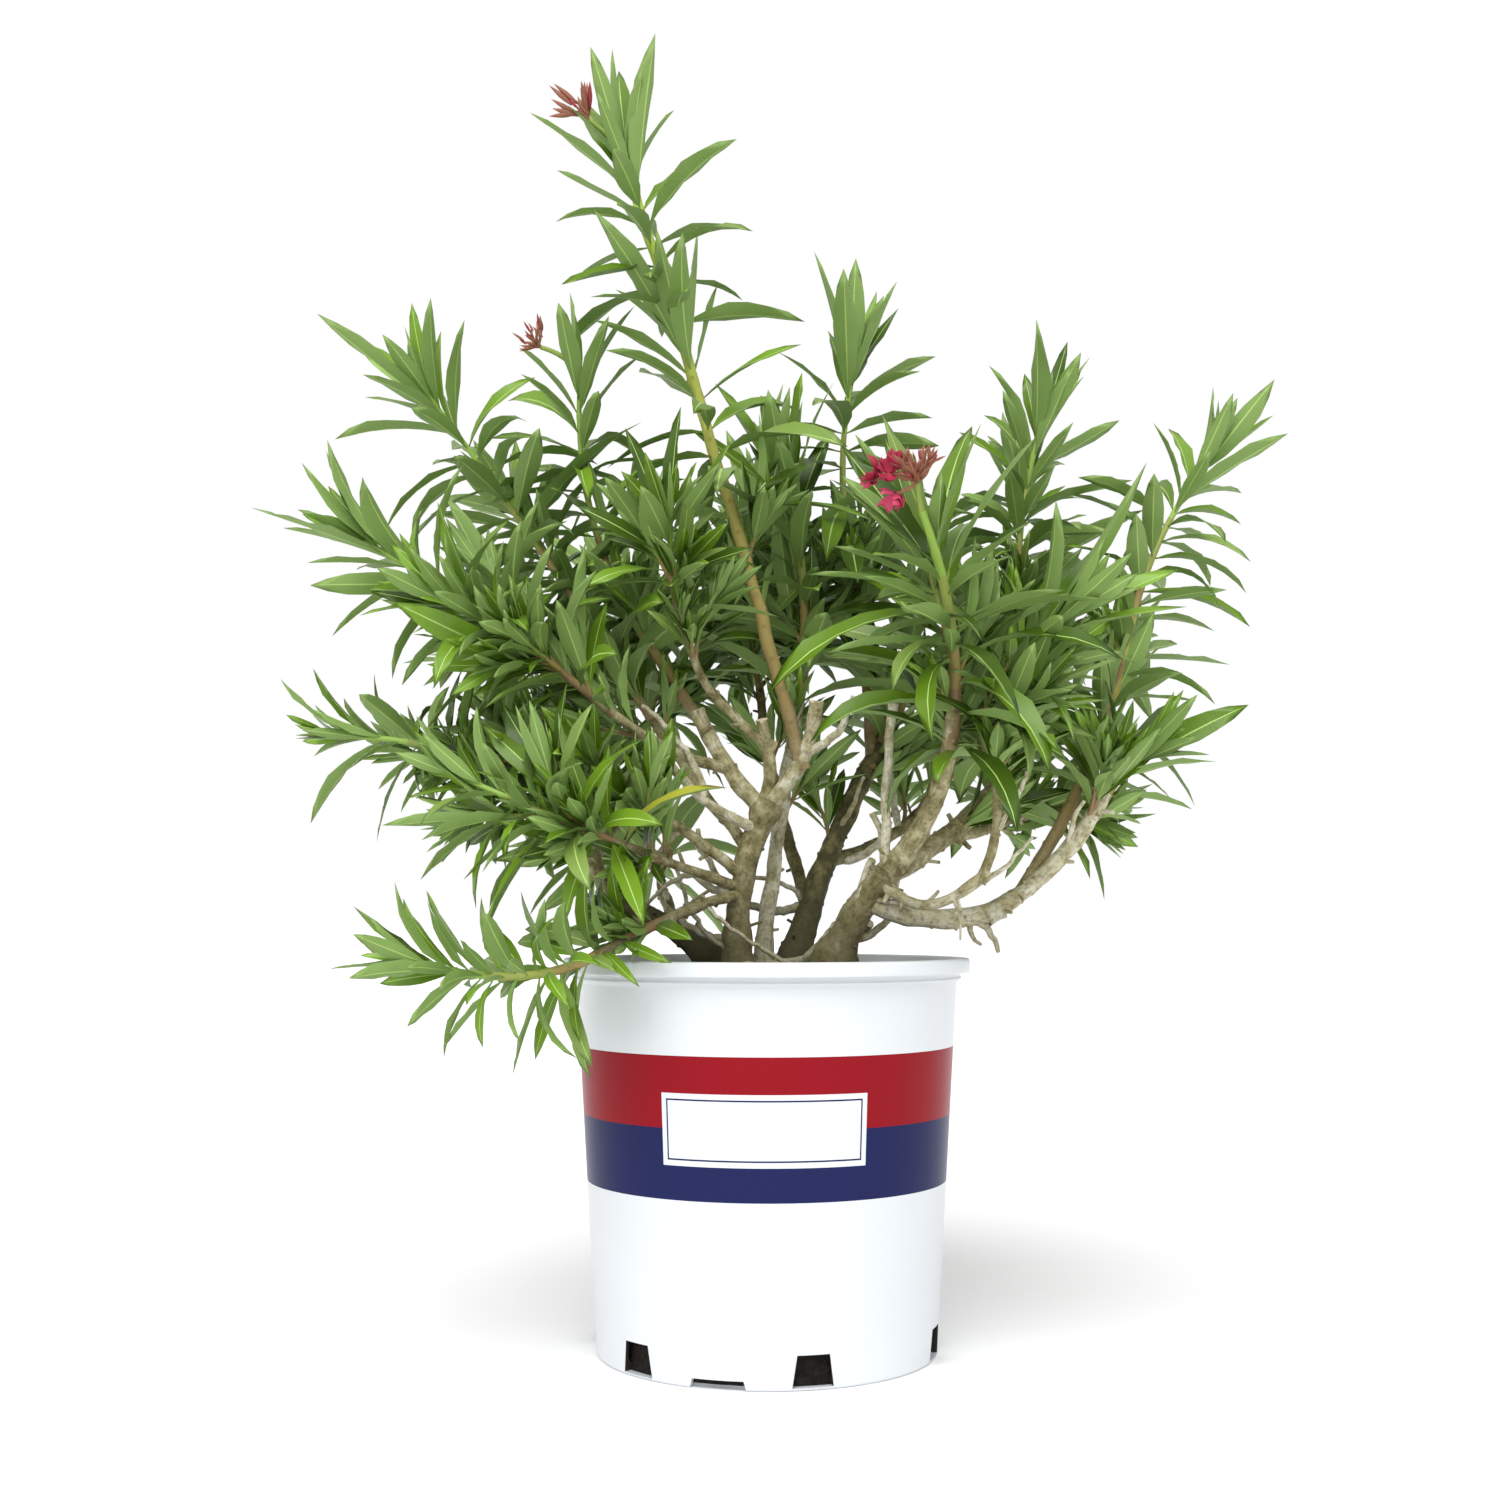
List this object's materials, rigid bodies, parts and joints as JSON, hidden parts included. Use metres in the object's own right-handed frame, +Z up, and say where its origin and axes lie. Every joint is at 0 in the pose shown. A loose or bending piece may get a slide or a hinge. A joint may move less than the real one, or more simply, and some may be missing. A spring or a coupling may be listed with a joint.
{
  "type": "potted oleander",
  "caption": "Bushy oleander in a white banded nursery pot: bare woody stems fork just above the rim and fan out into upright leafy shoots, one tall leader and a few pink buds.",
  "frame": {"origin": "the middle of the pot's flat underside", "axes": "+Z up the pot's axis, -Y towards the front of the pot, +X to its right"},
  "size_m": [0.7393, 0.5279, 0.946],
  "materials": {
    "pot_plastic": "glossy white moulded plastic with printed bands",
    "soil": "damp potting mix",
    "bark": "grey-brown bark with leaf scars",
    "green_bark": "smooth young green-brown bark",
    "leaves": "leathery evergreen leaves"
  },
  "bodies": {
    "root": {"brown_bough": "bark", "brown_bough_leaves": "leaves", "bud_bough": "green_bark", "bud_bough_leaves": "leaves", "far_right_bough": "green_bark", "far_right_bough_leaves": "leaves", "flower_bough": "bark", "flower_bough_leaves": "leaves", "high_loop": "bark", "high_loop_leaves": "leaves", "high_sweep": "bark", "high_sweep_leaves": "leaves", "leader": "green_bark", "leader_collar_leaves": "leaves", "leader_leaves": "leaves", "left_high_bough": "bark", "left_high_bough_leaves": "leaves", "left_log": "bark", "left_lower_bough": "bark", "left_lower_bough_leaves": "leaves", "left_middle_bough": "bark", "left_middle_bough_leaves": "leaves", "left_pale_stub": "bark", "left_stub": "bark", "left_upper_bough": "bark", "left_upper_bough_leaves": "leaves", "left_upright": "bark", "left_upright_leaves": "leaves", "low_left_bough": "bark", "low_left_bough_leaves": "leaves", "low_loop": "bark", "low_sweep": "bark", "main_stem": "bark", "middle_stub": "bark", "pale_stem": "bark", "pale_stem_leaves": "leaves", "pot": "pot_plastic", "rear_left_bough": "bark", "rear_left_bough_leaves": "leaves", "rear_low_bough": "bark", "rear_low_bough_leaves": "leaves", "rear_middle_bough": "bark", "rear_middle_bough_leaves": "leaves", "rear_right_bough": "bark", "rear_right_bough_leaves": "leaves", "rear_stem": "bark", "rear_stem_leaves": "leaves", "right_stem": "bark", "right_stub": "bark", "right_top_bough": "green_bark", "right_top_bough_leaves": "leaves", "soil": "soil", "thick_bough": "bark", "thick_bough_leaves": "leaves", "top_right_bough": "green_bark", "top_right_bough_leaves": "leaves", "upright_stub": "bark", "whorl_bough": "bark", "whorl_bough_leaves": "leaves"}
  },
  "joints": []
}
